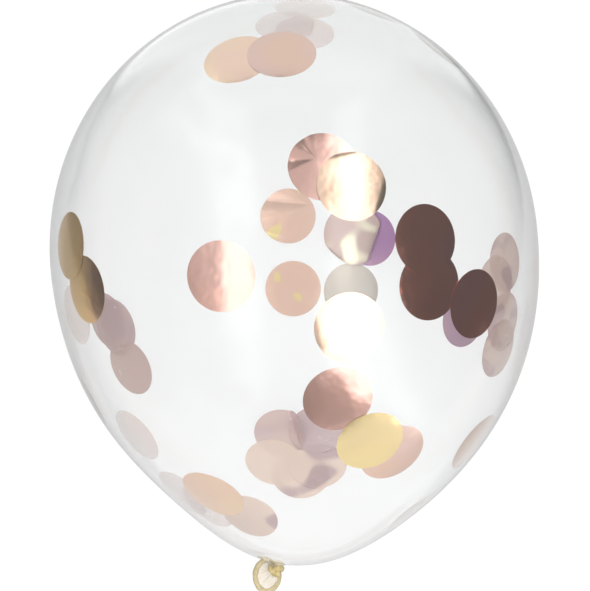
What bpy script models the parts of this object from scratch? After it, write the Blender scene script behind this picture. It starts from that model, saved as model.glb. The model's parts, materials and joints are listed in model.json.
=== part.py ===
"""A clear latex party balloon, blown up, tied and lying on its side.

It is one moulded piece: the blown envelope, the neck, the knot tied in the neck and the
flared mouth with its rolled lip. Metres, +Z up. The origin is the middle of the small flat
on the underside that the balloon rests on. The crown points along +Y, the knot along -Y.
"""
import math

import bmesh
import bpy
from mathutils import Matrix, Vector

# Envelope: an egg turned about its own long axis, widest where the crown meets the tail.
GIRTH_RADIUS = 0.150
CROWN_LENGTH = 0.158
TAIL_LENGTH = 0.185
TAIL_TAPER = 0.16            # share of its radius that the tail has lost at its tip
TAIL_TAPER_POWER = 4.0
ENVELOPE_SEGMENTS = 64
ENVELOPE_RINGS = 44

# Neck: it leaves the tail a little to one side and draws the envelope out towards the knot.
NECK_SIDE_ANGLE = math.radians(11.4)
NECK_DRAW = 0.0625           # share that the envelope is drawn out by, at the neck
NECK_DRAW_SPREAD = math.radians(17.8)
NECK_START = 0.184           # distances along the neck's line, from the envelope's middle
NECK_END = 0.1965
NECK_BASE_RADIUS = 0.0125
NECK_WAIST_RADIUS = 0.0046
NECK_STEPS = 6

# Knot: a lump of wrapped latex with one turn crossing over it.
KNOT_REACH = 0.1980          # from the envelope's middle to the knot's middle
KNOT_SIDE_SHIFT = 0.0036     # the lump sits beside the neck's line
KNOT_WIDTH = 0.0106
KNOT_LENGTH = 0.0090
KNOT_DEPTH = 0.0088
KNOT_SEGMENTS = 20
KNOT_RINGS = 14
WRAP_RADIUS = 0.0017
WRAP_STAND_OUT = 0.0006      # how far the turn stands proud of the lump
WRAP_TILT = math.radians(28.0)

# Mouth: a skirt that flares down from the knot to a rolled lip, dented where it meets the knot.
MOUTH_REACH = 0.2027
MOUTH_SIDE_SHIFT = -0.0014
MOUTH_DROP = 0.0062
MOUTH_HALF_WIDTH = 0.0080
MOUTH_HALF_LENGTH = 0.0105
MOUTH_TILT = math.radians(14.0)
MOUTH_SKIN = 0.0014
MOUTH_DENT = 0.30            # share of the lip's reach lost at the dent
MOUTH_DENT_SPREAD = math.radians(32.0)
LIP_RADIUS = 0.0014
LIP_SEGMENTS = 36
LIP_SIDES = 8

# Lying pose: the flat lies under the middle of the mass, so the knot end hangs low.
BODY_TURN = math.radians(7.1)
LIE_TILT = math.radians(6.5)
FLAT_DEPTH = 0.00075

LATEX_COLOUR = (0.86, 0.88, 0.86, 1.0)
LATEX_ROUGHNESS = 0.12


def clear_scene():
    """Remove every object that the file opened with."""
    for old in list(bpy.data.objects):
        bpy.data.objects.remove(old, do_unlink=True)


def clear_latex():
    """Make the one material: smooth, clear rubber."""
    material = bpy.data.materials.new("clear_latex")
    material.use_nodes = True
    shader = material.node_tree.nodes["Principled BSDF"]
    shader.inputs["Base Color"].default_value = LATEX_COLOUR
    shader.inputs["Roughness"].default_value = LATEX_ROUGHNESS
    shader.inputs["Metallic"].default_value = 0.0
    return material


def neck_direction():
    """Unit vector from the envelope's middle to the knot, before the balloon is laid down."""
    return Vector((-math.sin(NECK_SIDE_ANGLE), -math.cos(NECK_SIDE_ANGLE), 0.0))


def envelope_point(latitude, longitude):
    """Point of the blown skin: latitude runs from the tail's pole to the crown's."""
    height = math.sin(latitude)
    if height > 0.0:
        along = CROWN_LENGTH * height
        radius = GIRTH_RADIUS * math.cos(latitude)
    else:
        along = TAIL_LENGTH * height
        taper = 1.0 - TAIL_TAPER * (-height) ** TAIL_TAPER_POWER
        radius = GIRTH_RADIUS * math.cos(latitude) * taper
    point = Vector((radius * math.cos(longitude), along, radius * math.sin(longitude)))
    off_neck = point.angle(neck_direction())
    draw = NECK_DRAW * math.exp(-((off_neck / NECK_DRAW_SPREAD) ** 2))
    return point * (1.0 + draw)


def lying_matrix():
    """Turn and tilt from the envelope's own axis to the lying balloon, before it is dropped."""
    return Matrix.Rotation(LIE_TILT, 4, "X") @ Matrix.Rotation(BODY_TURN, 4, "Z")


def touch_point():
    """Lowest point of the envelope's egg once it is turned and tilted."""
    down = lying_matrix().to_3x3().transposed() @ Vector((0.0, 0.0, -1.0))
    sideways = math.hypot(down.x, down.z)
    length = TAIL_LENGTH if down.y < 0.0 else CROWN_LENGTH
    scale = math.hypot(GIRTH_RADIUS * sideways, length * down.y)
    radius = GIRTH_RADIUS ** 2 * sideways / scale
    along = length ** 2 * down.y / scale
    egg_point = Vector((radius * down.x / sideways, along, radius * down.z / sideways))
    return lying_matrix() @ egg_point


def resting_matrix():
    """Whole move from the envelope's own axis to the balloon resting on its flat."""
    lowest = touch_point()
    drop = Matrix.Translation((-lowest.x, -lowest.y, -lowest.z - FLAT_DEPTH))
    return drop @ lying_matrix()


def new_object(name, bm):
    """Turn a bmesh into a smooth-shaded object in the scene."""
    bmesh.ops.recalc_face_normals(bm, faces=bm.faces)
    mesh = bpy.data.meshes.new(name)
    bm.to_mesh(mesh)
    bm.free()
    mesh.shade_smooth()
    made = bpy.data.objects.new(name, mesh)
    bpy.context.scene.collection.objects.link(made)
    return made


def make_envelope():
    """The blown skin as a solid egg, drawn out to the neck and cut flat where it rests."""
    bm = bmesh.new()
    bmesh.ops.create_uvsphere(
        bm, u_segments=ENVELOPE_SEGMENTS, v_segments=ENVELOPE_RINGS, radius=1.0
    )
    for vert in bm.verts:
        latitude = math.asin(max(-1.0, min(1.0, vert.co.z)))
        longitude = math.atan2(vert.co.y, vert.co.x)
        vert.co = envelope_point(latitude, longitude)
    bmesh.ops.transform(bm, matrix=resting_matrix(), verts=bm.verts)
    everything = bm.verts[:] + bm.edges[:] + bm.faces[:]
    cut = bmesh.ops.bisect_plane(
        bm, geom=everything, plane_co=(0.0, 0.0, 0.0), plane_no=(0.0, 0.0, -1.0), clear_outer=True
    )
    rim = [part for part in cut["geom_cut"] if isinstance(part, bmesh.types.BMEdge)]
    bmesh.ops.contextual_create(bm, geom=rim)
    return new_object("balloon", bm)


def frame_at(origin, along, up):
    """Matrix whose Z runs along one direction and whose X is as near as can be to another."""
    z_axis = along.normalized()
    y_axis = z_axis.cross(up).normalized()
    x_axis = y_axis.cross(z_axis)
    matrix = Matrix((x_axis, y_axis, z_axis)).transposed().to_4x4()
    matrix.translation = origin
    return matrix


def make_neck():
    """Short throat, turned about the neck's line, from inside the envelope into the knot."""
    bm = bmesh.new()
    profile = [bm.verts.new((0.0, 0.0, NECK_START))]
    for step in range(NECK_STEPS + 1):
        share = step / NECK_STEPS
        ease = (1.0 - share) ** 2
        radius = NECK_WAIST_RADIUS + (NECK_BASE_RADIUS - NECK_WAIST_RADIUS) * ease
        height = NECK_START + (NECK_END - NECK_START) * share
        profile.append(bm.verts.new((radius, 0.0, height)))
    profile.append(bm.verts.new((0.0, 0.0, NECK_END)))
    edges = [bm.edges.new(pair) for pair in zip(profile, profile[1:])]
    bmesh.ops.spin(
        bm, geom=profile + edges, cent=(0.0, 0.0, 0.0), axis=(0.0, 0.0, 1.0),
        angle=math.tau, steps=KNOT_SEGMENTS, use_merge=True,
    )
    bmesh.ops.remove_doubles(bm, verts=bm.verts, dist=0.00001)
    line = frame_at(Vector(), neck_direction(), Vector((0.0, 0.0, 1.0)))
    bmesh.ops.transform(bm, matrix=resting_matrix() @ line, verts=bm.verts)
    return new_object("neck_union", bm)


def tail_frame(reach, side_shift, rise):
    """Axes at a place past the neck: X beside the neck's line, Y along it to the crown, Z up."""
    outward = neck_direction()
    upward = Vector((0.0, 0.0, 1.0))
    beside = upward.cross(outward)
    matrix = Matrix((beside, -outward, upward)).transposed().to_4x4()
    matrix.translation = outward * reach + beside * side_shift + upward * rise
    return resting_matrix() @ matrix


def knot_frame():
    """Axes in the middle of the knot's lump."""
    return tail_frame(KNOT_REACH, KNOT_SIDE_SHIFT, 0.0)


def mouth_frame():
    """Axes in the middle of the mouth: the lip lies in XY and the throat is above it."""
    level = tail_frame(MOUTH_REACH, MOUTH_SIDE_SHIFT, -MOUTH_DROP)
    return level @ Matrix.Rotation(MOUTH_TILT, 4, "X")


def throat_point():
    """Where the skirt comes out of the knot, in the mouth's own axes."""
    return mouth_frame().inverted() @ knot_frame().translation


def make_knot():
    """Lump of the overhand knot."""
    bm = bmesh.new()
    bmesh.ops.create_uvsphere(bm, u_segments=KNOT_SEGMENTS, v_segments=KNOT_RINGS, radius=0.5)
    bmesh.ops.scale(bm, vec=(KNOT_WIDTH, KNOT_LENGTH, KNOT_DEPTH), verts=bm.verts)
    bmesh.ops.transform(bm, matrix=knot_frame(), verts=bm.verts)
    return new_object("knot_union", bm)


def make_ring(name, middle_line, tube_radius, placing):
    """Closed ring of round section along a loop of points in its own XY plane."""
    bm = bmesh.new()
    loops = []
    for index, centre in enumerate(middle_line):
        ahead = middle_line[(index + 1) % len(middle_line)] - middle_line[index - 1]
        outward = Vector((ahead.y, -ahead.x, 0.0)).normalized()
        loop = []
        for side in range(LIP_SIDES):
            turn = math.tau * side / LIP_SIDES
            lift = Vector((0.0, 0.0, math.sin(turn)))
            loop.append(bm.verts.new(centre + (outward * math.cos(turn) + lift) * tube_radius))
        loops.append(loop)
    for here, there in zip(loops, loops[1:] + loops[:1]):
        for side in range(LIP_SIDES):
            following = (side + 1) % LIP_SIDES
            bm.faces.new((here[side], here[following], there[following], there[side]))
    bmesh.ops.transform(bm, matrix=placing, verts=bm.verts)
    return new_object(name, bm)


def make_wrap():
    """The one turn that crosses over the knot's lump."""
    upright = Matrix.Rotation(WRAP_TILT, 4, "Z") @ Matrix.Rotation(math.radians(90.0), 4, "Y")
    line = []
    for segment in range(KNOT_SEGMENTS):
        around = math.tau * segment / KNOT_SEGMENTS
        high = KNOT_DEPTH / 2.0 + WRAP_STAND_OUT - WRAP_RADIUS
        long = KNOT_LENGTH / 2.0 + WRAP_STAND_OUT - WRAP_RADIUS
        line.append(Vector((high * math.cos(around), long * math.sin(around), 0.0)))
    return make_ring("wrap_union", line, WRAP_RADIUS, knot_frame() @ upright)


def lip_line():
    """Middle line of the rolled lip: an oval, dented on the side where the knot sits."""
    throat = throat_point()
    dent_at = math.atan2(throat.y, throat.x)
    line = []
    for segment in range(LIP_SEGMENTS):
        around = math.tau * segment / LIP_SEGMENTS
        off_dent = math.remainder(around - dent_at, math.tau)
        reach = 1.0 - MOUTH_DENT * math.exp(-((off_dent / MOUTH_DENT_SPREAD) ** 2))
        across = MOUTH_HALF_WIDTH * math.cos(around) * reach
        along = MOUTH_HALF_LENGTH * math.sin(around) * reach
        line.append(Vector((across, along, 0.0)))
    return line


def make_lip():
    """Rolled lip around the mouth."""
    return make_ring("lip_union", lip_line(), LIP_RADIUS, mouth_frame())


def make_skirt():
    """Flared skin from the throat in the knot down to the lip."""
    bm = bmesh.new()
    lift = Vector((0.0, 0.0, MOUTH_SKIN / 2.0))
    line = lip_line()
    top = [bm.verts.new(point + lift) for point in line]
    bottom = [bm.verts.new(point - lift) for point in line]
    apex = bm.verts.new(throat_point())
    hollow = bm.verts.new(throat_point() / 2.0)
    for segment in range(LIP_SEGMENTS):
        following = (segment + 1) % LIP_SEGMENTS
        bm.faces.new((top[segment], top[following], apex))
        bm.faces.new((bottom[following], bottom[segment], hollow))
        bm.faces.new((bottom[segment], bottom[following], top[following], top[segment]))
    bmesh.ops.transform(bm, matrix=mouth_frame(), verts=bm.verts)
    return new_object("skirt_union", bm)


def join_to(body, other):
    """Unite another closed shape with the body, keeping that shape as a hidden helper."""
    other.hide_render = True
    other.display_type = "WIRE"
    union = body.modifiers.new(other.name, "BOOLEAN")
    union.operation = "UNION"
    union.solver = "EXACT"
    union.object = other


def main():
    """Build the balloon as one solid."""
    clear_scene()
    balloon = make_envelope()
    balloon.data.materials.append(clear_latex())
    for helper in (make_neck(), make_knot(), make_wrap(), make_skirt(), make_lip()):
        join_to(balloon, helper)


main()
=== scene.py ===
"""The looks of a clear party balloon with loose foil discs inside it.

The balloon lies on its side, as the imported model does. Its skin is one moulded piece of latex:
the blown envelope, the tied knot and the flared mouth with its rolled lip. The foil discs are
loose and cling to the inside of the wall. Metres, +Z up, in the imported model's own frame.
"""
import json
import logging
import math
from collections.abc import Callable
from dataclasses import dataclass
from enum import Enum

import bpy
import numpy as np
from mathutils import Matrix, Vector


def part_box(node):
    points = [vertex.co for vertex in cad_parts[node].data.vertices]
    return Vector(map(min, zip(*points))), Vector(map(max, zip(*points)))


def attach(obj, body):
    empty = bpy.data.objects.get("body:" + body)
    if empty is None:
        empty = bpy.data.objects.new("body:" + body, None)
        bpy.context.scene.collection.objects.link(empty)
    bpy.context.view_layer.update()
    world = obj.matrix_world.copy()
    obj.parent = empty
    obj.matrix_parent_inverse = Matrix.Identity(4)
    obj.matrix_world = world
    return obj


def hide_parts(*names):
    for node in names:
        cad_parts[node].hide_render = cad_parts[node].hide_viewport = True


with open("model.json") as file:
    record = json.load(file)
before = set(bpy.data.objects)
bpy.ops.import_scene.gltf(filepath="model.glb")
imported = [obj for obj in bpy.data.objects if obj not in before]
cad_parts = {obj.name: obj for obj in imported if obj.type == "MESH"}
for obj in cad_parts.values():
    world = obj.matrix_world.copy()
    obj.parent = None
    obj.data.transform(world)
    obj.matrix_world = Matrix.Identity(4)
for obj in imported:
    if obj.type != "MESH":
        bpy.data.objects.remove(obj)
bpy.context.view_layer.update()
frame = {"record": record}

MM = 0.001

Colour = tuple[float, float, float]
Slope = tuple[float, float]  # where something starts to rise and where it is full
Waves = tuple[tuple[int, float, float], ...]  # how many, how high and where they start
log = logging.getLogger("confetti_balloon")


# ---------------- shader building


def math_node(operation: str, swapped: bool = False) -> Callable[..., "Signal"]:
    """Make the method of Signal that adds one kind of Math node.

    Args:
        operation: What the node works out.
        swapped: Whether the signal comes second, as in 1 - signal.

    Returns:
        The method.
    """

    def method(self: "Signal", *others: "Signal | float") -> "Signal":
        """Add the node, with the signal and any other value."""
        values = (*others, self) if swapped else (self, *others)
        return self.graph.add("ShaderNodeMath", {"operation": operation}, dict(enumerate(values)))

    return method


class Signal:
    """A shader socket that takes part in ordinary arithmetic."""

    __add__ = math_node("ADD")
    __radd__ = math_node("ADD", swapped=True)
    __sub__ = math_node("SUBTRACT")
    __rsub__ = math_node("SUBTRACT", swapped=True)
    __mul__ = math_node("MULTIPLY")
    __rmul__ = math_node("MULTIPLY", swapped=True)
    __truediv__ = math_node("DIVIDE")
    __rtruediv__ = math_node("DIVIDE", swapped=True)
    __pow__ = math_node("POWER")
    __abs__ = math_node("ABSOLUTE")
    exp = math_node("EXPONENT")  # e to the power of the signal
    at_least = math_node("MAXIMUM")  # the larger of the signal and another value
    at_most = math_node("MINIMUM")  # the smaller of them

    def __init__(self, graph: "Graph", socket: bpy.types.NodeSocket) -> None:
        """Keep the socket and the graph that it belongs to."""
        self.graph = graph
        self.socket = socket

    def __neg__(self) -> "Signal":
        """-self."""
        return self * -1.0

    def rises(self, start: float, end: float) -> "Signal":
        """Smooth step from 0 at start to 1 at end."""
        inputs = {"Value": self, "From Min": start, "From Max": end, "To Min": 0.0, "To Max": 1.0}
        return self.graph.add("ShaderNodeMapRange", {"interpolation_type": "SMOOTHSTEP"}, inputs, "Result")

    def falls(self, start: float, end: float) -> "Signal":
        """Smooth step from 1 at start to 0 at end."""
        return 1.0 - self.rises(start, end)

    def between(self, low: float, high: float, soft: float) -> "Signal":
        """1 inside low..high and 0 outside, with edges that are soft wide."""
        return self.rises(low - soft, low + soft) * self.falls(high - soft, high + soft)

    def covered(self, mask: "Signal", value: "Signal | float") -> "Signal":
        """This signal where the mask is 0, and the other value where it is 1."""
        return self * (1.0 - mask) + mask * value


class Graph:
    """The nodes of a material or a world, which are added one call for each."""

    def __init__(self, owner: bpy.types.Material | bpy.types.World) -> None:
        """Start with no nodes.

        Args:
            owner: The material or world.
        """
        self.owner = owner
        owner.use_nodes = True
        owner.node_tree.nodes.clear()

    def add(
        self,
        kind: str,
        settings: dict[str, object] | None = None,
        inputs: dict[str | int, object] | None = None,
        output: str | int = 0,
    ) -> Signal | None:
        """Add a node.

        Args:
            kind: The node's type name.
            settings: Its own settings, set before the sockets.
            inputs: Value or link of each input socket, by identifier, name or index.
            output: Which output socket to give back.

        Returns:
            The output socket as a signal, or None where the node has no output.
        """
        node = self.owner.node_tree.nodes.new(kind)
        for name, value in (settings or {}).items():
            setattr(node, name, value)
        for key, value in (inputs or {}).items():
            socket = self._find(node.inputs, key)
            if isinstance(value, Signal):
                self.owner.node_tree.links.new(value.socket, socket)
            else:
                socket.default_value = (*value, 1.0) if socket.type == "RGBA" else value
        return Signal(self, self._find(node.outputs, output)) if len(node.outputs) else None

    @staticmethod
    def _find(sockets: bpy.types.bpy_prop_collection, key: str | int) -> bpy.types.NodeSocket:
        """Socket with that identifier, or else with that index or name."""
        return next((socket for socket in sockets if socket.identifier == key), None) or sockets[key]

    def principled(self, inputs: dict[str, object]) -> Signal:
        """Add a Principled surface."""
        return self.add("ShaderNodeBsdfPrincipled", inputs=inputs)

    def show(self, surface: Signal) -> bpy.types.Material:
        """Send a surface to the material's output, and give back the material."""
        self.add("ShaderNodeOutputMaterial", inputs={"Surface": surface})
        return self.owner

    def noise(self, where: Signal, scale: float, detail: float) -> Signal:
        """Soft noise from 0 to 1 at a place."""
        inputs = {"Vector": where, "Scale": scale, "Detail": detail}
        return self.add("ShaderNodeTexNoise", {"noise_dimensions": "3D"}, inputs, "Fac")

    def mix(self, share: Signal | float, first: Signal | Colour, second: Signal | Colour) -> Signal:
        """Colour that goes from first to second as share goes from 0 to 1."""
        inputs = {"Factor_Float": share, "A_Color": first, "B_Color": second}
        return self.add("ShaderNodeMix", {"data_type": "RGBA"}, inputs, "Result_Color")

    def place(self) -> Signal:
        """Place on the piece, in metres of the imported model's frame."""
        return self.add("ShaderNodeTexCoord", output="Object")

    def distance(self, place: Signal, spot: Vector) -> Signal:
        """How far a place is from a spot."""
        inputs = {0: place, 1: tuple(spot)}
        return self.add("ShaderNodeVectorMath", {"operation": "DISTANCE"}, inputs, "Value")

    def dot(self, direction: Signal, axis: Vector) -> Signal:
        """How far a direction goes along an axis."""
        inputs = {0: direction, 1: tuple(axis)}
        return self.add("ShaderNodeVectorMath", {"operation": "DOT_PRODUCT"}, inputs, "Value")

    def facing(self) -> Signal:
        """0 where the surface faces the eye and 1 where it is edge on."""
        return self.add("ShaderNodeLayerWeight", inputs={"Blend": 0.5}, output="Facing")

    def bump(self, height: Signal, strength: float, depth: float) -> Signal:
        """Normal of a surface with that height."""
        inputs = {"Strength": strength, "Distance": depth, "Height": height}
        return self.add("ShaderNodeBump", inputs=inputs, output="Normal")


# ---------------- finishes


@dataclass(frozen=True)
class FilmFinish:
    """Clear blown latex: a thin milky veil that thickens edge on, and a soft gloss."""

    veil: Colour = (0.22, 0.31, 0.29)
    thick_veil: Colour = (0.58, 0.51, 0.46)
    white: Colour = (1.0, 1.0, 1.0)
    veil_depth: float = 0.0315  # optical depth of one face, seen square on
    veil_edge_power: float = 0.60  # how fast the veil thickens towards edge on
    crown_shade_gain: float = 4.0  # how much deeper the veil gets per metre towards the crown: painted shade that darkens the crown's half
    thick_depth: float = 0.10  # the same, at the crown's tip and by the neck
    tip_radius: float = 7.0 * MM
    tip_core: float = 0.35  # share of that radius that is thick all over
    neck_radius: float = 13.0 * MM
    neck_share: float = 0.8  # how thick the neck's end is beside the crown's tip
    cloud_scale: float = 9.0
    cloud_least: float = 0.8  # the veil is uneven: its least share of the depth
    cloud_range: float = 0.4  # and how much more there can be
    least_cosine: float = 0.05  # keeps the depth finite where the film is edge on
    mirror: float = 0.016  # share mirrored square on
    mirror_power: float = 5.0
    roughness: float = 0.13
    wave_scale: float = 14.0
    wave_strength: float = 0.05
    wave_height: float = 2.0 * MM

    def material(self, tip: Vector, neck: Vector) -> bpy.types.Material:
        """Make the material.

        Args:
            tip: The crown's tip, where the latex is thicker.
            neck: The end of the neck, where the latex is thicker.

        Returns:
            The film's material.
        """
        graph = Graph(bpy.data.materials.new("clear_film"))
        place = graph.place()
        cosine = (1.0 - graph.facing()).at_least(self.least_cosine)
        core = self.tip_core * self.tip_radius
        at_tip = graph.distance(place, tip).falls(core, self.tip_radius)
        at_neck = graph.distance(place, neck).falls(0.0, self.neck_radius)
        thick = 1.0 - (1.0 - at_tip) * (1.0 - at_neck * self.neck_share)
        cloud = self.cloud_least + self.cloud_range * graph.noise(place, self.cloud_scale, detail=3.0)
        axis = (tip - neck).normalized()
        from_middle = graph.dot(place, axis) - axis.dot((tip + neck) / 2.0)
        # The veil deepens towards the crown: painted shade on the crown's half of the film.
        blown = self.veil_depth * (1.0 + self.crown_shade_gain * from_middle)
        depth = (blown + thick * self.thick_depth) * cloud
        veil = 1.0 - (-(depth / cosine ** self.veil_edge_power)).exp()
        mirror = self.mirror + (1.0 - self.mirror) * (1.0 - cosine) ** self.mirror_power
        cover = veil + mirror - veil * mirror
        share = mirror / cover
        milk = graph.mix(thick, self.veil, self.thick_veil)
        milk_level = self.veil[1] + (self.thick_veil[1] - self.veil[1]) * thick
        waves = graph.noise(place, self.wave_scale, detail=2.0)
        film = graph.principled(
            {
                "Base Color": graph.mix(share, milk, self.white),
                "Metallic": share / (share + (1.0 - share) * milk_level),
                "Roughness": self.roughness,
                "Specular IOR Level": 0.0,
                "Normal": graph.bump(waves, self.wave_strength, self.wave_height),
            }
        )
        clear = graph.add("ShaderNodeBsdfTransparent")
        return graph.show(graph.add("ShaderNodeMixShader", inputs={0: cover, 1: clear, 2: film}))


@dataclass(frozen=True)
class LatexFinish:
    """Unstretched latex, as in the knot, the skirt and the rolled lip."""

    light: Colour
    deep: Colour
    solid: float  # how solid it looks where it is thin
    solid_edge: float  # how solid it looks edge on
    solid_slope: Slope = (0.1, 0.8)  # how far edge on that is
    solid_patches: float = 0.35  # share of the clear part that patches fill
    patch_slope: Slope = (0.35, 0.7)
    deep_share: float = 0.6  # how deep the colour gets in patches, and again edge on
    glow: float = 0.25  # share of light that scatters under the surface
    glow_radius: Colour = (1.0, 0.7, 0.35)
    glow_depth: float = 1.5 * MM
    roughness: float = 0.34
    roughness_range: float = 0.12
    grain_scale: float = 420.0
    fine_scale: float = 4.0 * 420.0
    bump_strength: float = 0.25
    bump_height: float = 0.06 * MM

    def material(self, name: str) -> bpy.types.Material:
        """Make the material.

        Args:
            name: Its name.

        Returns:
            The latex's material.
        """
        graph = Graph(bpy.data.materials.new(name))
        place = graph.place()
        patches = graph.noise(place, self.grain_scale, detail=3.0)
        fine = graph.noise(place, self.fine_scale, detail=2.0)
        facing = graph.facing()
        deeper = patches.rises(*self.patch_slope) * self.deep_share + facing * self.deep_share
        solid = self.solid + (self.solid_edge - self.solid) * facing.rises(*self.solid_slope)
        surface = graph.principled(
            {
                "Base Color": graph.mix(deeper.at_most(1.0), self.light, self.deep),
                "Roughness": self.roughness + self.roughness_range * patches,
                "Subsurface Weight": self.glow,
                "Subsurface Radius": self.glow_radius,
                "Subsurface Scale": self.glow_depth,
                "Alpha": solid + (1.0 - solid) * self.solid_patches * patches,
                "Normal": graph.bump(fine, self.bump_strength, self.bump_height),
            }
        )
        return graph.show(surface)


class Latex(Enum):
    """The latex of each part that is not blown thin, in the order of the skin's materials."""

    KNOT = LatexFinish((0.60, 0.51, 0.26), (0.44, 0.32, 0.14), 0.95, 1.0)
    SKIRT = LatexFinish((0.80, 0.73, 0.64), (0.70, 0.64, 0.56), 0.68, 0.90)
    LIP = LatexFinish((0.54, 0.46, 0.28), (0.42, 0.35, 0.20), 0.94, 1.0)


@dataclass(frozen=True)
class FoilFinish:
    """Thin iridescent foil with a soft crinkle: mirror-like, or thin enough to see through. On a few foils
    the patch and edge-on colours are painted highlights, glints, sheen or shade.
    """

    metal: Colour
    shift: Colour  # what the metal turns to in patches
    sheen: Colour  # what it turns to edge on: an iridescent shift, which on a few foils is painted sheen or shade
    solid: float = 1.0
    metallic: float = 1.0
    roughness: float = 0.15
    roughness_range: float = 0.08
    crease_scale: float = 70.0
    crease_strength: float = 0.36
    crease_height: float = 1.2 * MM
    patch_scale: float = 26.0
    patch_slope: Slope = (0.38, 0.66)
    sheen_slope: Slope = (0.25, 0.95)  # how far edge on the sheen starts and is full
    sheen_share: float = 0.5

    def material(self, name: str) -> bpy.types.Material:
        """Make the material.

        Args:
            name: Its name.

        Returns:
            The foil's material.
        """
        graph = Graph(bpy.data.materials.new(name))
        place = graph.place()
        patches = graph.noise(place, self.patch_scale, detail=1.0).rises(*self.patch_slope)
        creases = graph.noise(place, self.crease_scale, detail=2.0)
        edge_on = graph.facing().rises(*self.sheen_slope) * self.sheen_share
        metal = graph.mix(patches, self.metal, self.shift)
        surface = graph.principled(
            {
                "Base Color": graph.mix(edge_on, metal, self.sheen),
                "Metallic": self.metallic,
                "Roughness": self.roughness + self.roughness_range * creases,
                "Alpha": self.solid,
                "Normal": graph.bump(creases, self.crease_strength, self.crease_height),
            }
        )
        return graph.show(surface)


class Foil(Enum):
    """The foils that the discs are punched from. A few of them also carry painted highlights, glints, sheen
    or shade.
    """

    ROSE = FoilFinish((0.92, 0.55, 0.46), (0.92, 0.57, 0.49), (0.90, 0.62, 0.52))
    COPPER = FoilFinish((0.93, 0.42, 0.33), (0.86, 0.42, 0.40), (0.90, 0.42, 0.34), roughness=0.1)
    # Dark body that turns near-white edge on: painted shade on a disc seen edge on, and a painted sheen of
    # the skin's reflection.
    SMOKE = FoilFinish(
        (0.40, 0.30, 0.25), (0.44, 0.36, 0.31), (0.95, 0.90, 0.87),
        0.80, 0.2, 0.25, sheen_slope=(0.55, 0.86), sheen_share=1.0,
    )
    # Dark colour for discs seen edge on by the outline: painted shade standing in for the foil's dark
    # reflection there.
    DUSK = FoilFinish(
        (0.22, 0.20, 0.15), (0.28, 0.24, 0.18), (0.40, 0.37, 0.33),
        0.88, 0.15, 0.35, sheen_slope=(0.85, 0.97), sheen_share=1.0,
    )
    # Tan foil whose near-white edge-on colour is a painted sheen of reflected light.
    UMBER = FoilFinish(
        (0.50, 0.33, 0.25), (0.60, 0.40, 0.28), (0.95, 0.88, 0.85),
        0.80, 0.2, 0.25, sheen_slope=(0.58, 0.92), sheen_share=1.0,
    )
    HONEY = FoilFinish((0.94, 0.60, 0.43), (0.92, 0.66, 0.49), (0.90, 0.68, 0.50))
    PEACH = FoilFinish((1.00, 0.76, 0.55), (0.98, 0.70, 0.57), (1.00, 0.78, 0.60))
    BLUSH = FoilFinish((0.86, 0.60, 0.47), (0.84, 0.60, 0.53), (0.84, 0.60, 0.46))
    GOLD = FoilFinish((0.94, 0.74, 0.37), (0.90, 0.70, 0.38), (0.93, 0.76, 0.42))
    # Red-brown foil that turns gold edge on: partly the foil's iridescence, partly a painted reflection of a
    # lit panel.
    AMBER = FoilFinish(
        (1.00, 0.50, 0.38), (0.90, 0.58, 0.40), (0.94, 0.64, 0.23), sheen_slope=(0.44, 0.54), sheen_share=0.9
    )
    # Its near-white colour is a painted highlight and its tan patches are painted shade, on the folded cone
    # disc.
    CREAM = FoilFinish(
        (1.00, 0.97, 0.72), (0.54, 0.40, 0.37), (0.50, 0.40, 0.40),
        0.88, 0.22, 0.18, patch_scale=40.0, patch_slope=(0.38, 0.50),
    )
    # Tan foil whose small yellow patches are painted glints, partly the foil's iridescence.
    TAN = FoilFinish(
        (0.73, 0.51, 0.41), (0.76, 0.62, 0.30), (0.60, 0.47, 0.50),
        0.88, 0.35, 0.2, patch_scale=70.0, patch_slope=(0.62, 0.68),
    )
    PEARL = FoilFinish(
        (0.84, 0.68, 0.59), (0.56, 0.42, 0.42), (0.76, 0.62, 0.57),
        0.76, 0.15, 0.22, patch_slope=(0.52, 0.59),
    )
    ASH = FoilFinish((0.58, 0.51, 0.45), (0.52, 0.47, 0.42), (0.46, 0.42, 0.42), 0.80, 0.4, 0.2)
    SAND = FoilFinish(
        (0.86, 0.68, 0.61), (0.68, 0.50, 0.51), (0.78, 0.65, 0.62),
        0.64, 0.2, 0.22, patch_scale=60.0, patch_slope=(0.48, 0.60),
    )
    MAUVE = FoilFinish(
        (0.75, 0.58, 0.54), (0.66, 0.51, 0.52), (0.66, 0.55, 0.55),
        0.76, 0.25, 0.22, patch_slope=(0.46, 0.60),
    )
    MIST = FoilFinish((0.86, 0.67, 0.60), (0.79, 0.66, 0.65), (0.86, 0.76, 0.69), 0.33, 0.2, 0.25)
    VIOLET = FoilFinish((0.40, 0.21, 0.42), (0.50, 0.27, 0.41), (0.50, 0.34, 0.52), 0.90, 0.3, 0.18)
    LILAC = FoilFinish((0.58, 0.38, 0.50), (0.70, 0.48, 0.45), (0.62, 0.48, 0.52), 0.74, 0.3, 0.2)


# ---------------- plain geometry


def moved(points: np.ndarray, matrix: Matrix) -> np.ndarray:
    """Points after a matrix has moved them."""
    rows = np.array(matrix)
    return points @ rows[:3, :3].T + rows[:3, 3]


def unit_rows(vectors: np.ndarray) -> np.ndarray:
    """The same vectors, each one long."""
    return vectors / np.linalg.norm(vectors, axis=-1, keepdims=True)


def turns(count: int) -> np.ndarray:
    """Angles that part a full turn evenly."""
    return np.arange(count) * math.tau / count


def circle(around: np.ndarray) -> np.ndarray:
    """Points of a flat circle with a radius of 1, at these angles from X."""
    return np.column_stack((np.cos(around), np.sin(around), 0.0 * around))


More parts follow.
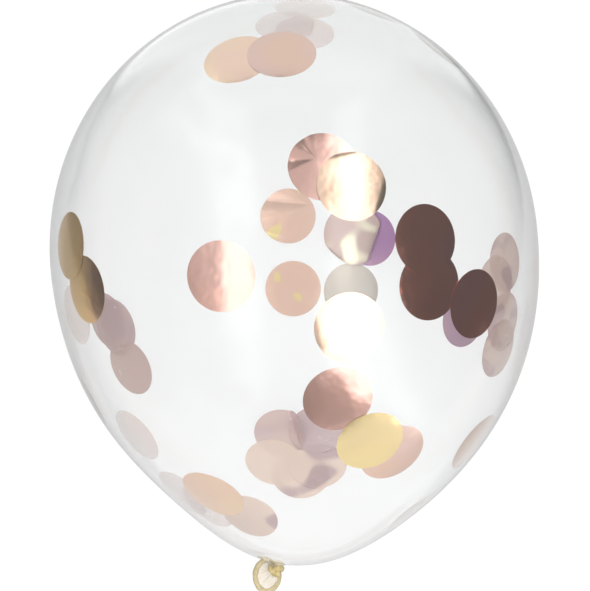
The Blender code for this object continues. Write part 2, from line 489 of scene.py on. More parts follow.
def globe(polar: np.ndarray, around: np.ndarray) -> np.ndarray:
    """Unit vectors, in a row for each angle from Z and a column for each angle round it."""
    polar = polar[:, None, None]
    return np.sin(polar) * circle(around) + np.cos(polar) * (0.0, 0.0, 1.0)


def ripple(around: np.ndarray, waves: Waves) -> np.ndarray:
    """Sum of waves that run round a ring."""
    return sum(size * np.cos(count * around + start) for count, size, start in waves)


# ---------------- the blown shape


@dataclass(frozen=True)
class BlownShape:
    """Shape of the blown skin and how it lies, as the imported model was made.

    Lengths are shares of the girth radius. The skin's own axes have the crown along +Y.
    """

    crown: float = 158.0 / 150.0
    tail: float = 185.0 / 150.0
    tail_taper: float = 0.16
    tail_taper_power: float = 4.0
    neck_side: float = math.radians(11.4)
    neck_draw: float = 0.0625
    neck_draw_spread: float = math.radians(17.8)
    body_turn: float = math.radians(7.1)
    lie_tilt: float = math.radians(6.5)
    table_steps: int = 1441

    def neck_direction(self) -> np.ndarray:
        """Unit vector from the middle of the skin to the knot."""
        return np.array((-math.sin(self.neck_side), -math.cos(self.neck_side), 0.0))

    def outline(self, latitude: np.ndarray) -> tuple[np.ndarray, np.ndarray]:
        """How far along the axis and how far off it the skin is.

        Args:
            latitude: Angles from -90 degrees at the tail to 90 degrees at the crown, in radians.

        Returns:
            The distance along the axis and the distance from it.
        """
        height = np.sin(latitude)
        below = np.clip(-height, 0.0, 1.0)
        along = np.where(height > 0.0, self.crown, self.tail) * height
        taper = 1.0 - self.tail_taper * below ** self.tail_taper_power
        return along, np.cos(latitude) * taper

    def reach(self, directions: np.ndarray) -> np.ndarray:
        """Distance from the middle to the skin.

        Args:
            directions: Unit vectors from the middle.

        Returns:
            The distance along each of them.
        """
        latitude = np.linspace(-math.pi / 2.0, math.pi / 2.0, self.table_steps)
        along, off_axis = self.outline(latitude)
        polar = np.arctan2(off_axis, -along)
        from_tail = np.arccos(np.clip(-directions[:, 1], -1.0, 1.0))
        egg = np.interp(from_tail, polar, np.hypot(along, off_axis))
        off_neck = np.arccos(np.clip(directions @ self.neck_direction(), -1.0, 1.0))
        return egg * (1.0 + self.neck_draw * np.exp(-((off_neck / self.neck_draw_spread) ** 2)))

    def crown_axis(self) -> Vector:
        """Which way the crown is, as the balloon lies."""
        return Vector((0.0, math.cos(self.lie_tilt), math.sin(self.lie_tilt)))

    def top_axis(self) -> Vector:
        """Which way is up from the long axis, as the balloon lies."""
        return Vector((0.0, -math.sin(self.lie_tilt), math.cos(self.lie_tilt)))

    def lying(self) -> Matrix:
        """Turn from the skin's own axes to the lying balloon."""
        return Matrix.Rotation(self.lie_tilt, 4, "X") @ Matrix.Rotation(self.body_turn, 4, "Z")


class LyingBalloon:
    """The blown shape at its real size and place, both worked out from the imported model's box."""

    flat_depth = 0.75 * MM  # how much the skin is flattened where it rests
    probe = 0.2 * MM  # how far off a point the wall's slope is felt
    fit_rows = 181
    fit_columns = 361

    def __init__(self, shape: BlownShape, low: Vector, high: Vector) -> None:
        """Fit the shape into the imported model's box.

        Args:
            shape: The blown shape.
            low: The box's lowest corner.
            high: Its highest corner.
        """
        self.shape = shape
        turn = shape.lying().to_3x3()
        polar = np.linspace(0.0, math.pi, self.fit_rows)
        around = np.linspace(0.0, math.tau, self.fit_columns)
        directions = globe(polar, around).reshape(-1, 3)[:, (0, 2, 1)]
        spread = (directions * shape.reach(directions)[:, None]) @ np.array(turn).T
        least, most = spread.min(0), spread.max(0)
        self.girth = (high.z - low.z + self.flat_depth) / (most[2] - least[2])
        across = (low.x + high.x) / 2.0 - self.girth * (least[0] + most[0]) / 2.0
        place = Vector((across, high.y - self.girth * most[1], high.z - self.girth * most[2]))
        self.matrix = Matrix.Translation(place) @ turn.to_4x4()

    def wall(self, towards: np.ndarray) -> np.ndarray:
        """Points of the skin that lie the same way from the middle as these points."""
        unit = towards / np.linalg.norm(towards, axis=1, keepdims=True)
        return unit * (self.shape.reach(unit) * self.girth)[:, None]

    def _above_wall(self, points: np.ndarray) -> np.ndarray:
        """How much farther than the skin these points are from the middle."""
        return np.linalg.norm(points, axis=1) - np.linalg.norm(self.wall(points), axis=1)

    def outward(self, points: np.ndarray) -> np.ndarray:
        """Which way the skin faces.

        Args:
            points: Points on it.

        Returns:
            The unit normals there.
        """
        steps = np.eye(3) * self.probe
        slope = [self._above_wall(points + step) - self._above_wall(points - step) for step in steps]
        return unit_rows(np.stack(slope, 1))

    def spot(self, along: float, turn: float) -> np.ndarray:
        """A point of the skin.

        Args:
            along: Degrees from the girth, towards the crown.
            turn: Degrees round the long axis from straight up, towards +X.

        Returns:
            The point, in the skin's own axes.
        """
        height, radius = self.shape.outline(np.array([math.radians(along)]))
        around = math.radians(turn)
        point = (radius[0] * math.sin(around), height[0], radius[0] * math.cos(around))
        return self.wall(np.array([point]))[0]

    def tail_axes(self, reach: float, side_shift: float, rise: float) -> Matrix:
        """Axes at a place past the neck: X beside its line, Y along it to the crown, Z up.

        Args:
            reach: Distance from the envelope's middle, along the neck's line.
            side_shift: Distance beside that line.
            rise: Distance above it.

        Returns:
            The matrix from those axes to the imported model's frame.
        """
        out, up = Vector(self.shape.neck_direction()), Vector((0.0, 0.0, 1.0))
        beside = up.cross(out)
        axes = Matrix((beside, -out, up)).transposed().to_4x4()
        axes.translation = out * reach + beside * side_shift + up * rise
        return self.matrix @ axes

    def placed(self, points: np.ndarray, clearance: float = 0.0) -> np.ndarray:
        """Move points from the skin's own axes to where the balloon lies.

        Args:
            points: Points in the skin's own axes.
            clearance: Least height above what the balloon rests on.

        Returns:
            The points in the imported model's frame.
        """
        placed = moved(points, self.matrix)
        placed[:, 2] = np.maximum(placed[:, 2], clearance)
        return placed


# ---------------- mesh building


def in_scene(name: str, data: bpy.types.ID) -> bpy.types.Object:
    """Make an object.

    Args:
        name: Its name.
        data: Its mesh, light or camera.

    Returns:
        The object, in the scene.
    """
    made = bpy.data.objects.new(name, data)
    bpy.context.scene.collection.objects.link(made)
    return made


def mesh_object(name: str, points: np.ndarray, faces: list[list[int]]) -> bpy.types.Object:
    """Make a mesh object.

    Args:
        name: Its name.
        points: Its points.
        faces: Its faces, as indices of the points.

    Returns:
        The object, in the scene.
    """
    mesh = bpy.data.meshes.new(name)
    mesh.from_pydata(points.tolist(), [], faces)
    return in_scene(name, mesh)


class Shells:
    """Closed shells, each with its own finish, that are gathered into one mesh."""

    sharp_angle = math.radians(48.0)

    def __init__(self) -> None:
        """Start with nothing."""
        self.points: list[np.ndarray] = []
        self.faces: list[list[int]] = []
        self.finish: list[int] = []

    def add(self, points: np.ndarray, faces: list[list[int]], finish: int = 0) -> None:
        """Add a shell.

        Args:
            points: Its points.
            faces: Its faces, as indices of its own points.
            finish: Which of the piece's materials it has.
        """
        if self._volume(points, faces) < 0.0:
            faces = [face[::-1] for face in faces]
        first = sum(len(shell) for shell in self.points)
        self.points.append(points)
        self.faces.extend([index + first for index in face] for face in faces)
        self.finish.extend([finish] * len(faces))

    @staticmethod
    def _volume(points: np.ndarray, faces: list[list[int]]) -> float:
        """Volume inside a closed shell.

        Args:
            points: The shell's points.
            faces: Its faces, as indices of the points.

        Returns:
            The volume, which is negative where the faces look inwards.
        """
        cut = [(face[0], face[at], face[at + 1]) for face in faces for at in range(1, len(face) - 1)]
        first, second, third = (points - points[0])[np.array(cut)].transpose(1, 0, 2)
        return float((first * np.cross(second, third)).sum()) / 6.0

    def build(self, name: str, materials: list[bpy.types.Material]) -> bpy.types.Object:
        """Make the piece.

        Args:
            name: The piece's name.
            materials: Its materials, in the order of the finish numbers.

        Returns:
            The new object, in the scene.
        """
        piece = mesh_object(name, np.concatenate(self.points), self.faces)
        mesh = piece.data
        for material in materials:
            mesh.materials.append(material)
        mesh.polygons.foreach_set("material_index", self.finish)
        mesh.polygons.foreach_set("use_smooth", [True] * len(self.faces))
        mesh.set_sharp_from_angle(angle=self.sharp_angle)
        mesh.validate()
        mesh.update()
        return piece


def grid_faces(rows: int, columns: int, start: int = 0, flip: bool = False) -> list[list[int]]:
    """Faces between rows of points that close on themselves.

    Args:
        rows: How many rows.
        columns: How many points in a row.
        start: Index of the first point.
        flip: Whether the faces look the other way.

    Returns:
        The faces.
    """
    faces = []
    for row in range(start, start + (rows - 1) * columns, columns):
        for column in range(columns):
            here, beside = row + column, row + (column + 1) % columns
            face = [here, beside, beside + columns, here + columns]
            faces.append(face[::-1] if flip else face)
    return faces


def double_wall(rows: int, columns: int, shut: bool) -> list[list[int]]:
    """Faces of a thin wall between two sheets of points.

    Args:
        rows: How many rows each sheet has. The inner sheet's points come after the outer's.
        columns: How many points in a row.
        shut: Whether each sheet's last row is closed with a cap, or else the two are joined there.

    Returns:
        The faces: both sheets, and the rims or caps.
    """
    count = rows * columns
    last = count - columns
    faces = grid_faces(rows, columns) + grid_faces(rows, columns, count, flip=True)
    beside = [(column + 1) % columns for column in range(columns)]
    faces += [[beside[at], at, count + at, count + beside[at]] for at in range(columns)]
    if shut:
        faces.append([last + at for at in range(columns)])
        faces.append([count + last + at for at in reversed(range(columns))])
    else:
        rims = [(last + at, last + beside[at]) for at in range(columns)]
        faces += [[here, there, count + there, count + here] for here, there in rims]
    return faces


def ring_tube(line: np.ndarray, radius: np.ndarray, sides: int) -> tuple[np.ndarray, list[list[int]]]:
    """A tube of changing radius along a line that joins up with its own start.

    Args:
        line: Points of its middle line.
        radius: Its radius at each point.
        sides: How many sides it has.

    Returns:
        The tube's points and faces.
    """
    count = len(line)
    ahead = unit_rows(np.roll(line, -1, 0) - np.roll(line, 1, 0))
    side = np.cross(ahead[0], (0.0, 0.0, 1.0))
    around = turns(sides)
    rings = []
    for middle, forward, width in zip(line, ahead, radius):
        side = side - forward * (side @ forward)
        side = side / np.linalg.norm(side)
        ring = np.outer(np.cos(around), side) + np.outer(np.sin(around), np.cross(forward, side))
        rings.append(middle + ring * width)
    faces = grid_faces(count, sides, flip=True)
    gaps = [np.linalg.norm(np.roll(rings[0], -turn, 0) - rings[-1]) for turn in range(sides)]
    twist = int(np.argmin(gaps))
    last = (count - 1) * sides
    for at in range(sides):
        beside = (at + 1) % sides
        faces.append([last + beside, last + at, (at + twist) % sides, (beside + twist) % sides])
    return np.concatenate(rings), faces


# ---------------- the latex skin


@dataclass
class Envelope:
    """The blown part of the skin: a thin double wall from the neck to the crown."""

    balloon: LyingBalloon
    thickness: float = 0.3 * MM
    columns: int = 180
    dome_rows: int = 112
    neck_rows: int = 14
    dome_start: float = math.radians(4.4)
    pole_gap: float = math.radians(1.0)  # the last row's angle from the pole that a cap closes
    neck_reach: float = 197.6 * MM
    neck_radius: float = 3.1 * MM
    neck_shift: float = 2.4 * MM  # the neck's end bends aside into the knot
    neck_drop: float = 0.6 * MM
    throat_gain: float = 1.25  # the throat, where the neck starts to widen, is this much wider
    throat_rise: float = 0.9 * MM
    throat_bend: tuple[float, float] = (0.55, 0.5)  # its shares of the neck's shift and drop
    pleat_depth: float = 0.35 * MM
    pleat_spread: float = 9.0 * MM
    pleated_rows: int = 30  # rows of the blown wall that the pleats fade out in
    pleats: Waves = ((9, 0.5, 0.4), (14, 0.3, 2.1), (5, 0.2, 4.0))

    def axes(self) -> np.ndarray:
        """Make the neck's own axes.

        Returns:
            The axes as rows: beside the neck, above it and along it.
        """
        out = self.balloon.shape.neck_direction()
        up = np.array((0.0, 0.0, 1.0))
        return np.stack((np.cross(up, out), up, out))

    def dome(self) -> np.ndarray:
        """Make the blown wall.

        Returns:
            Its rows of points, from the neck to the crown.
        """
        polar = np.linspace(self.dome_start, math.pi - self.pole_gap, self.dome_rows)
        local = globe(polar, turns(self.columns)).reshape(-1, 3)
        wall = self.balloon.wall(local @ self.axes())
        return wall.reshape(self.dome_rows, self.columns, 3)

    def neck(self, rim: np.ndarray) -> np.ndarray:
        """Make the neck.

        Args:
            rim: First row of the blown wall.

        Returns:
            Its rows of points, from its end in the knot up to the rim, without the rim.
        """
        axes = self.axes()
        local = rim @ axes.T
        ring = circle(turns(self.columns)) * self.neck_radius
        end = ring + (self.neck_shift, -self.neck_drop, self.neck_reach)
        aside, down = self.throat_bend
        throat = ring * self.throat_gain + (aside * self.neck_shift, -down * self.neck_drop, 0.0)
        throat[:, 2] = local[:, 2] + self.throat_rise
        rows = []
        for share in np.linspace(0.0, 1.0, self.neck_rows, endpoint=False):
            curve = (1 - share) ** 2 * end + 2 * share * (1 - share) * throat + share ** 2 * local
            rows.append(curve @ axes)
        return np.stack(rows)

    def sheet(self) -> tuple[np.ndarray, np.ndarray]:
        """Make the outer sheet of the wall, in the skin's own axes.

        Returns:
            Its rows of points, and its normals.
        """
        dome = self.dome()
        rows = np.concatenate((self.neck(dome[0]), dome))
        across = np.roll(rows, -1, 1) - np.roll(rows, 1, 1)
        normals = unit_rows(np.cross(np.gradient(rows, axis=0), across))
        off_axis = np.linalg.norm(rows @ self.axes()[:2].T, axis=2)
        fade = np.exp(-((off_axis / self.pleat_spread) ** 2))
        fade[self.neck_rows + self.pleated_rows:] = 0.0
        ridge = ripple(turns(self.columns), self.pleats)
        return rows + normals * (self.pleat_depth * fade * ridge)[..., None], normals

    def tip(self) -> Vector:
        """The crown's tip."""
        return Vector(self.balloon.placed(self.balloon.spot(90.0, 0.0)[None])[0])

    def neck_end(self) -> Vector:
        """The end of the neck."""
        end = self.balloon.shape.neck_direction() * self.neck_reach
        return Vector(self.balloon.placed(end[None])[0])

    def add_to(self, shells: Shells, finish: int) -> None:
        """Build the wall into the skin.

        Args:
            shells: The skin's shells.
            finish: Which of its materials the wall has.
        """
        rows, normals = self.sheet()
        outer = self.balloon.placed(rows.reshape(-1, 3))
        inside = (rows - normals * self.thickness).reshape(-1, 3)
        inner = self.balloon.placed(inside, self.thickness)
        faces = double_wall(len(rows), self.columns, shut=True)
        shells.add(np.concatenate((outer, inner)), faces, finish)


@dataclass
class Knot:
    """The overhand knot: a fat strand tied on itself and pulled tight."""

    balloon: LyingBalloon
    reach: float = 198.0 * MM
    side_shift: float = 3.6 * MM
    width: float = 10.6 * MM
    length: float = 9.0 * MM
    depth: float = 8.8 * MM
    strand: float = 1.75 * MM
    steps: int = 120
    sides: int = 16
    voxel: float = 0.2 * MM
    smoothing: int = 5
    turned: float = math.radians(118.0)

    def matrix(self) -> Matrix:
        """The knot's own axes."""
        return self.balloon.tail_axes(self.reach, self.side_shift, 0.0)

    def strand_line(self) -> np.ndarray:
        """Lay the strand as a trefoil.

        Returns:
            Points of its middle line, in the knot's own axes.
        """
        turn = turns(self.steps)
        across = (np.sin(turn) + 2.0 * np.sin(2.0 * turn)) / 3.0
        along = (np.cos(turn) - 2.0 * np.cos(2.0 * turn)) / 3.0
        cosine, sine = math.cos(self.turned), math.sin(self.turned)
        flat = (across * cosine - along * sine, across * sine + along * cosine)
        line = np.stack((*flat, -np.sin(3.0 * turn)), 1)
        room = np.array((self.width, self.length, self.depth)) / 2.0 - self.strand
        return line / np.abs(line).max(0) * room

    def melted(self) -> tuple[np.ndarray, list[list[int]]]:
        """Melt the strand together where it touches itself.

        Returns:
            Points and faces, in the knot's own axes.
        """
        tube = ring_tube(self.strand_line(), np.full(self.steps, self.strand), self.sides)
        strand = mesh_object("knot_strand", *tube)
        melt = strand.modifiers.new("melt", "REMESH")
        melt.mode = "VOXEL"
        melt.voxel_size = self.voxel
        strand.modifiers.new("smooth", "SMOOTH").iterations = self.smoothing
        shown = strand.evaluated_get(bpy.context.evaluated_depsgraph_get())
        mesh = shown.to_mesh()
        points = np.array([vertex.co[:] for vertex in mesh.vertices])
        faces = [list(polygon.vertices) for polygon in mesh.polygons]
        shown.to_mesh_clear()
        bpy.data.objects.remove(strand)
        return points, faces

    def add_to(self, shells: Shells, finish: int) -> None:
        """Build the knot into the skin, with that one of its materials."""
        points, faces = self.melted()
        shells.add(moved(points, self.matrix()), faces, finish)


@dataclass
class Mouth:
    """The mouth: a thin pleated skirt that flares down from the knot to a rolled lip."""

    balloon: LyingBalloon
    knot: Knot
    reach: float = 202.7 * MM
    side_shift: float = -1.5 * MM
    drop: float = 6.2 * MM
    half_width: float = 7.5 * MM
    half_length: float = 10.5 * MM
    tilt: float = math.radians(14.0)
    dent: float = 0.30
    dent_spread: float = math.radians(32.0)
    lip_radius: float = 1.7 * MM
    lip_lumps: tuple[float, float] = (0.05, 0.04)  # how uneven its thickness is, 5 and 11 times round
    lip_wave: float = 0.25 * MM  # how far it waves up and down, 3 times round
    lip_wave_start: float = 0.7
    skin: float = 0.35 * MM
    throat_radius: float = 2.3 * MM
    flare: float = 1.25  # above 1 the skirt widens late
    sag: float = 1.1 * MM  # how far the skirt hangs through
    sag_fade: float = 0.4  # how much less of that there is by the lip
    pleat_depth: float = 0.55 * MM
    pleats: Waves = ((9, 0.6, 0.5), (13, 0.4, 2.0))
    segments: int = 96
    rows: int = 26
    lip_sides: int = 18

    def matrix(self) -> Matrix:
        """Axes of the mouth: the lip lies in XY and the throat is above it."""
        level = self.balloon.tail_axes(self.reach, self.side_shift, -self.drop)
        return level @ Matrix.Rotation(self.tilt, 4, "X")

    def throat(self) -> np.ndarray:
        """Where the skirt leaves the knot, in the mouth's axes."""
        return np.array(self.matrix().inverted() @ self.knot.matrix().translation)

    def lip_line(self) -> np.ndarray:
        """Lay the rolled lip, dented where it meets the knot.

        Returns:
            Points of its middle line.
        """
        throat = self.throat()
        around = turns(self.segments)
        off_dent = np.remainder(around - math.atan2(throat[1], throat[0]) + math.pi, math.tau)
        off_dent -= math.pi
        reach = 1.0 - self.dent * np.exp(-((off_dent / self.dent_spread) ** 2))
        across = self.half_width * np.cos(around) * reach
        along = self.half_length * np.sin(around) * reach
        return np.stack((across, along, self.lip_wave * np.sin(3.0 * around + self.lip_wave_start)), 1)

    def skirt_rows(self) -> np.ndarray:
        """Make the skirt's outer sheet.

        Returns:
            Its rows of points, from the throat to the lip.
        """
        throat = self.throat()
        lip = self.lip_line()
        ring = circle(turns(self.segments))
        ridge = ripple(turns(self.segments), self.pleats)
        rows = []
        for share in np.linspace(0.0, 1.0, self.rows):
            spread = share ** self.flare
            arch = math.sin(math.pi * share)
            row = throat * (1.0 - spread) + lip * spread + ring * self.throat_radius * (1.0 - share)
            row[:, 2] -= self.sag * arch * (1.0 - self.sag_fade * share)
            row[:, 2] += self.pleat_depth * arch * ridge
            rows.append(row)
        return np.stack(rows)

    def add_to(self, shells: Shells, skirt_finish: int, lip_finish: int) -> None:
        """Build the skirt and the rolled lip into the skin.

        Args:
            shells: The skin's shells.
            skirt_finish: Which of its materials the skirt has.
            lip_finish: Which of them the lip has.
        """
        outer = self.skirt_rows().reshape(-1, 3)
        points = np.concatenate((outer, outer - np.array((0.0, 0.0, self.skin))))
        faces = double_wall(self.rows, self.segments, shut=False)
        shells.add(moved(points, self.matrix()), faces, skirt_finish)
        around = turns(self.segments)
        wide, fine = self.lip_lumps
        radius = self.lip_radius * (1.0 + wide * np.sin(5.0 * around) + fine * np.sin(11.0 * around))
        points, faces = ring_tube(self.lip_line(), radius, self.lip_sides)
        shells.add(moved(points, self.matrix()), faces, lip_finish)


@dataclass
class LatexSkin:
    """The one moulded piece of latex: envelope, knot and mouth."""

    balloon: LyingBalloon

    def build(self) -> bpy.types.Object:
        """Build and dress the skin.

        Returns:
            The skin.
        """
        envelope = Envelope(self.balloon)
        knot = Knot(self.balloon)
        shells = Shells()
        envelope.add_to(shells, finish=0)
        knot.add_to(shells, finish=1)
        Mouth(self.balloon, knot).add_to(shells, skirt_finish=2, lip_finish=3)
        film = FilmFinish().material(envelope.tip(), envelope.neck_end())
        solid = [latex.value.material(f"{latex.name.lower()}_latex") for latex in Latex]
        skin = shells.build("balloon_skin", [film, *solid])
        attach(skin, "root")
        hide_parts("balloon")
        return skin


# ---------------- the foil discs


def aimed(degrees: float) -> np.ndarray:
    """Unit vector across a disc: 0 degrees to the crown, 90 to the higher turn."""
    return np.array((math.sin(math.radians(degrees)), math.cos(math.radians(degrees))))


@dataclass(frozen=True)
class Bend:
    """Where a disc leaves the wall: past a line across it, it folds or curls inwards."""

    towards: float  # degrees: 0 to the crown, 90 to the higher turn
    start: float  # where the line is, in radii from the middle
    angle: float  # degrees that the far side is turned through
    curl: bool = True  # a smooth curl, or else a sharp fold

    def apply(self, flat: np.ndarray, radius: float) -> np.ndarray:
        """Bend the disc's points.

        Args:
            flat: Points as distance to the higher turn, to the crown, and inwards.
            radius: The disc's radius.

        Returns:
            The bent points.
        """
        direction = aimed(self.towards)
        past = np.maximum(flat[:, :2] @ direction - self.start * radius, 0.0)
        angle = math.radians(self.angle)
        if self.curl:
            rate = angle / ((1.0 - self.start) * radius)
            travel, rise = np.sin(past * rate) / rate, (1.0 - np.cos(past * rate)) / rate
        else:
            travel, rise = past * math.cos(angle), past * math.sin(angle)
        bent = flat.copy()
        bent[:, :2] += (travel - past)[:, None] * direction
        bent[:, 2] += rise
        return bent


@dataclass(frozen=True)
class Buckle:
    """A dent like a small tent that opens from a point of a disc to its rim."""

    across: float  # its point, in radii towards the higher turn
    along: float  # its point, in radii towards the crown
    towards: float  # degrees: 0 to the crown, 90 to the higher turn
    spread: float  # half its opening, in degrees
    slope: float  # how steeply its ridge leaves the wall
    sharpness: float = 1.4  # above 1 its sides are hollow

    def apply(self, flat: np.ndarray, radius: float) -> np.ndarray:
        """Dent the disc's points.

        Args:
            flat: Points as distance to the higher turn, to the crown, and inwards.
            radius: The disc's radius.

        Returns:
            The dented points.
        """
        ahead = aimed(self.towards)
        beside = np.array((ahead[1], -ahead[0]))
        from_point = flat[:, :2] - np.array((self.across, self.along)) * radius
        off = np.degrees(np.abs(np.arctan2(from_point @ beside, from_point @ ahead)))
        height = self.slope * np.linalg.norm(from_point, axis=1)
        dented = flat.copy()
        dented[:, 2] += height * np.maximum(1.0 - off / self.spread, 0.0) ** self.sharpness
        return dented


@dataclass(frozen=True)
class Disc:
    """One disc: where it clings to the wall, its foil and how it bends."""

    along: float  # degrees from the girth, towards the crown
    turn: float  # degrees round the long axis from straight up, towards +X
    foil: Foil = Foil.ROSE
    layer: int = 0  # how many discs lie between it and the wall
    bends: tuple[Bend, ...] = ()
    buckles: tuple[Buckle, ...] = ()
    size: float = 1.0


# Where the discs have settled, cluster by cluster.
CLUSTERS: dict[str, tuple[Disc, ...]] = {
    "crown_front": (
        Disc(45.9, -10.2, Foil.PEACH, layer=1),
        Disc(45.6, 3.8, Foil.BLUSH),
    ),
    "upper_front": (
        Disc(
            16.5, 8.8, layer=4,
            buckles=(
                Buckle(-0.20, 0.26, -85.0, 27.0, 0.13),
                Buckle(-0.20, 0.26, -22.0, 26.0, 0.07),
            ),
        ),
        Disc(
            11.7, 14.3, Foil.HONEY,
            bends=(Bend(-90.0, -1.0, 0.6, False), Bend(-2.0, 0.82, 24.0), Bend(118.0, 0.80, 16.0)),
        ),
    ),
    "middle_front": (
        Disc(-2.7, -16.2),
        Disc(-14.3, 10.0, Foil.HONEY, bends=(Bend(-95.0, 0.80, 5.0),)),
    ),
    "lower_front": (
        Disc(-27.5, 6.2, layer=1),
        Disc(-37.5, 14.8, Foil.GOLD, buckles=(Buckle(-0.9, -0.15, 62.0, 34.0, 0.014),)),
        Disc(-41.4, 22.7, Foil.BLUSH, layer=2),
    ),
    "right_front": (
        Disc(-0.8, 29.6, Foil.COPPER),
        Disc(-8.8, 29.7, Foil.COPPER, layer=1, bends=(Bend(-90.0, -1.0, 0.4, False),)),
        Disc(-13.3, 42.6, Foil.COPPER),
        Disc(-43.4, 62.3, Foil.UMBER),
    ),
    "left_front": (
        Disc(7.1, -61.3, Foil.AMBER),
        Disc(-2.2, -55.1, Foil.AMBER, layer=1),
    ),
    "tail_front": (
        Disc(-47.0, -41.5, Foil.PEACH),
    ),
    "crown_back": (
        Disc(67.5, 167.5, Foil.MIST),
        Disc(63.1, 158.7, Foil.MIST, layer=1),
        Disc(75.3, 136.9, Foil.MIST, layer=2),
    ),
    "middle_back": (
        Disc(
            9.0, -179.5, Foil.TAN, bends=(Bend(160.0, 0.75, 24.0, False),),
            buckles=(Buckle(-0.9, 0.30, 75.0, 25.0, 0.09),),
        ),
        Disc(
            2.3, 163.5, Foil.CREAM, layer=6, size=1.10,
            bends=(Bend(134.0, 0.86, 68.0, False), Bend(-117.0, 0.76, 82.0, False)),
        ),
        Disc(1.0, 159.5, Foil.VIOLET),
        Disc(-8.0, -178.5, Foil.TAN),
        Disc(-10.0, 166.0, Foil.ASH),
    ),
    "right_back": (
        Disc(-18.5, 131.0, Foil.LILAC),
        Disc(-7.5, 114.0, Foil.SAND),
        Disc(-12.0, 118.5, Foil.SAND, layer=1),
        Disc(-19.6, 112.9, Foil.SAND, layer=2),
        Disc(-25.3, 113.2, Foil.SAND),
    ),
    "left_back": (
        Disc(-7.2, -105.1, Foil.MIST),
        Disc(-9.2, -120.1, Foil.MAUVE, size=0.94),
        Disc(-11.0, -122.8, Foil.MAUVE, layer=1),
        Disc(-19.8, -123.9, Foil.MAUVE),
        Disc(-34.5, -109.0, Foil.MIST),
    ),
    "tail_back": (
        Disc(-50.0, -105.3, Foil.MIST),
        Disc(-54.9, -113.3, Foil.MIST, layer=1),
        Disc(-61.1, -132.3, Foil.PEARL, layer=2),
        Disc(-41.0, -167.9, Foil.MAUVE, bends=(Bend(-90.0, 0.45, 70.0, False),)),
        Disc(-48.2, -161.1, Foil.PEARL, layer=1),
        Disc(-53.4, -170.3, Foil.PEARL, layer=2),
        Disc(-51.3, 181.1, Foil.PEARL, layer=3),
        Disc(-41.4, 179.5, Foil.MAUVE, layer=4),
    ),
    "sides": (
        Disc(63.3, 84.5, Foil.DUSK),
        Disc(46.0, 88.5, Foil.DUSK),
        Disc(-24.2, -84.5, Foil.DUSK),
        Disc(-63.8, 64.0, Foil.SMOKE),
    ),
}


@dataclass
class Confetti:
    """The loose discs, cluster by cluster."""

    balloon: LyingBalloon
    radius: float = 19.4 * MM
    front_gain: float = 1.03  # how much larger the discs on the upper side are
    thickness: float = 0.1 * MM
    wall_gap: float = 0.45 * MM
    layer_gap: float = 0.3 * MM
    rings: int = 14
    ring_power: float = 0.8  # below 1 the rings crowd towards the rim
    segments: int = 72

    def flat_points(self, radius: float) -> np.ndarray:
        """Lay out a flat disc.

        Args:
            radius: The disc's radius.

        Returns:
            Its middle point and rings, as distances across it, along it and inwards.
        """
        ring = circle(turns(self.segments))[:, (1, 0, 2)]
        shares = [(number / self.rings) ** self.ring_power for number in range(1, self.rings + 1)]
        return np.concatenate([np.zeros((1, 3))] + [ring * (radius * share) for share in shares])

    def faces(self) -> list[list[int]]:
        """List the faces of a thin disc.

        Returns:
            The faces of both its sides and its cut edge.
        """
        count = 1 + self.rings * self.segments
        edge = count - self.segments
        faces = []
        for at in range(self.segments):
            beside = (at + 1) % self.segments
            faces.append([0, 1 + beside, 1 + at])
            faces.append([count, count + 1 + at, count + 1 + beside])
            faces.append([edge + at, edge + beside, count + edge + beside, count + edge + at])
        faces += grid_faces(self.rings, self.segments, 1)
        faces += grid_faces(self.rings, self.segments, count + 1, flip=True)
        return faces

    def points(self, disc: Disc) -> np.ndarray:
        """Lay a disc where it clings to the wall.

        Args:
            disc: The disc.

        Returns:
            The points of its outer sheet and then of its inner one.
        """
        middle = self.balloon.spot(disc.along, disc.turn)
        outward = self.balloon.outward(middle[None])[0]
        to_crown = np.array((0.0, 1.0, 0.0)) - outward * outward[1]
        to_crown /= np.linalg.norm(to_crown)
        to_turn = np.cross(to_crown, outward)
        gain = self.front_gain if abs(disc.turn) < 90.0 else 1.0
        radius = disc.size * gain * self.radius
        flat = self.flat_points(radius)
        for shaping in disc.buckles + disc.bends:
            flat = shaping.apply(flat, radius)
        near = middle + np.outer(flat[:, 0], to_turn) + np.outer(flat[:, 1], to_crown)
        wall = self.balloon.wall(near)
        normals = self.balloon.outward(wall)
        gap = self.wall_gap + disc.layer * self.layer_gap
        depth = gap + flat[:, 2]
        sheets = [
            self.balloon.placed(wall - normals * (depth + extra)[:, None], gap + extra)
            for extra in (0.0, self.thickness)
        ]
        return np.concatenate(sheets)

    def build(self) -> list[bpy.types.Object]:
        """Build and dress every disc.

        Returns:
            The discs.
        """
        finishes = {foil: foil.value.material(f"{foil.name.lower()}_foil") for foil in Foil}
        faces = self.faces()
        made = []
        for cluster, discs in CLUSTERS.items():
            for number, disc in enumerate(discs, 1):
                shells = Shells()
                shells.add(self.points(disc), faces)
                piece = shells.build(f"foil_{cluster}_{number}", [finishes[disc.foil]])
                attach(piece, "root")
                made.append(piece)
        return made


# ---------------- the studio


